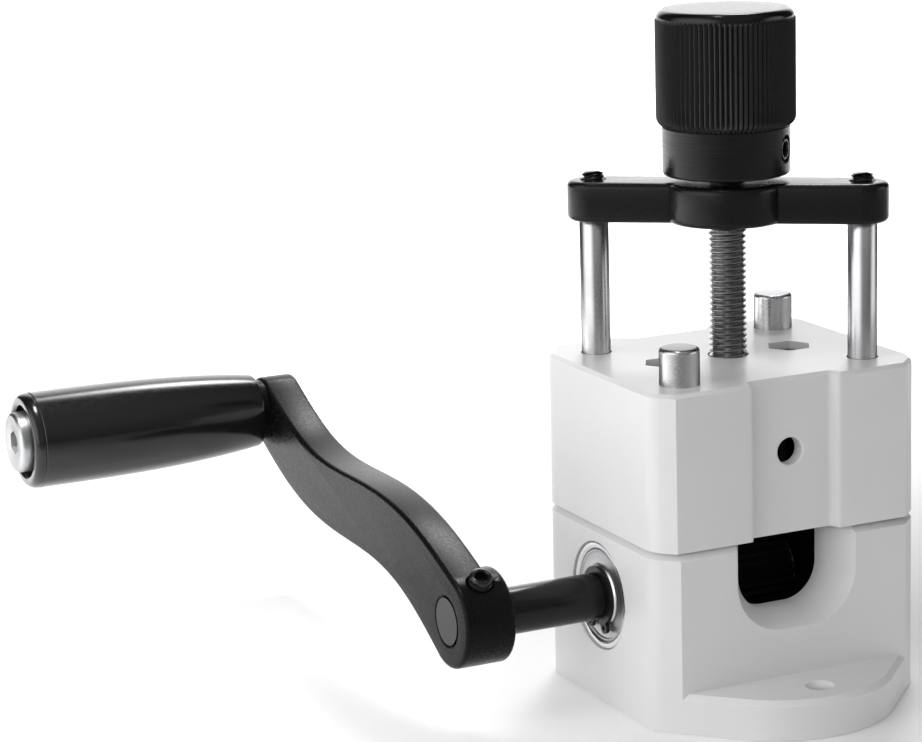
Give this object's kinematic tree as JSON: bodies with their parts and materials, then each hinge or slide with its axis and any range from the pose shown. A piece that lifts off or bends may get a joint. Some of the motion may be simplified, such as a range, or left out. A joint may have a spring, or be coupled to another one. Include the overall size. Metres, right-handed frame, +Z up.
{
  "type": "wire stripping machine",
  "caption": "Hand-cranked wire stripper: grey split block with feed roller and round blade, black crank with turning grip, and a knurled knob that lifts the upper block along its guides",
  "frame": {"origin": "centre of the base block's underside, on the bench surface", "axes": "+Z up; X along the crank shaft with the crank on the -X side; Y along the wire, which enters at +Y and leaves at -Y"},
  "size_m": [0.1946, 0.1878, 0.1739],
  "materials": {
    "block_plastic": "fine matt light grey plastic",
    "polished_steel": "ground bright steel",
    "dark_steel": "black oxide steel with bright edges",
    "black_cast": "satin black coating",
    "black_anodised": "black anodised, semi-gloss",
    "grip_plastic": "semi-gloss black plastic",
    "bearing_steel": "polished bearing steel",
    "zinc_plated": "bright zinc-plated steel",
    "blade_steel": "ground tool steel",
    "bronze": "turned bronze"
  },
  "bodies": {
    "base": {"base_block": "block_plastic", "foot_screws": "dark_steel", "guide_posts": "polished_steel", "guide_pins": "polished_steel", "yoke": "black_cast", "yoke_studs": "dark_steel", "left_bearing_outer_ring": "bearing_steel", "left_bearing_shields": "zinc_plated", "right_bearing_outer_ring": "bearing_steel", "right_bearing_shields": "zinc_plated"},
    "crank": {"drive_shaft": "dark_steel", "left_bearing_inner_ring": "bearing_steel", "right_bearing_inner_ring": "bearing_steel", "shaft_circlips": "dark_steel", "shaft_spacers": "zinc_plated", "feed_roller": "dark_steel", "roller_key": "dark_steel", "crank_arm": "black_cast", "crank_set_screw": "dark_steel", "handle_bolt": "zinc_plated"},
    "grip": {"handle_grip": "grip_plastic"},
    "left_ball_set": {"left_bearing_balls": "bearing_steel", "left_bearing_cage": "bronze"},
    "right_ball_set": {"right_bearing_balls": "bearing_steel", "right_bearing_cage": "bronze"},
    "carriage": {"carriage_block": "block_plastic", "blade_bracket": "zinc_plated", "bracket_bolts": "dark_steel", "bracket_nuts": "zinc_plated", "blade_axle": "polished_steel", "axle_circlips": "dark_steel"},
    "blade": {"blade_wheel": "blade_steel", "blade_hub": "bronze", "blade_clamp_ring": "bronze"},
    "screw": {"lift_screw": "dark_steel", "lift_washer": "zinc_plated", "lift_circlip": "dark_steel", "knob": "black_anodised", "knob_set_screw": "dark_steel"}
  },
  "joints": [
    {"name": "crank_spin", "type": "hinge", "parent": "base", "child": "crank", "pos_m": [0, 0, 0.0277], "axis": [1, 0, 0], "continuous": true},
    {"name": "grip_spin", "type": "hinge", "parent": "crank", "child": "grip", "pos_m": [-0.117, 0.1216, 0.05667], "axis": [1, 0, 0], "continuous": true},
    {"name": "left_ball_orbit", "type": "hinge", "parent": "base", "child": "left_ball_set", "pos_m": [-0.0341, 0, 0.0277], "axis": [1, 0, 0], "continuous": true},
    {"name": "right_ball_orbit", "type": "hinge", "parent": "base", "child": "right_ball_set", "pos_m": [0.0341, 0, 0.0277], "axis": [1, 0, 0], "continuous": true},
    {"name": "carriage_lift", "type": "slide", "parent": "base", "child": "carriage", "axis": [0, 0, 1], "range_m": [0, 0.024]},
    {"name": "blade_spin", "type": "hinge", "parent": "carriage", "child": "blade", "pos_m": [0, 0, 0.0545], "axis": [1, 0, 0], "continuous": true},
    {"name": "knob_turn", "type": "hinge", "parent": "carriage", "child": "screw", "pos_m": [0, 0, 0.15], "axis": [0, 0, 1], "range_deg": [0, 5760]}
  ],
  "couplings": [
    {"joint": "knob_turn", "follows": "carriage_lift", "rad_per_m": 4188.8},
    {"joint": "left_ball_orbit", "follows": "crank_spin", "ratio": 0.38},
    {"joint": "right_ball_orbit", "follows": "crank_spin", "ratio": 0.38}
  ]
}
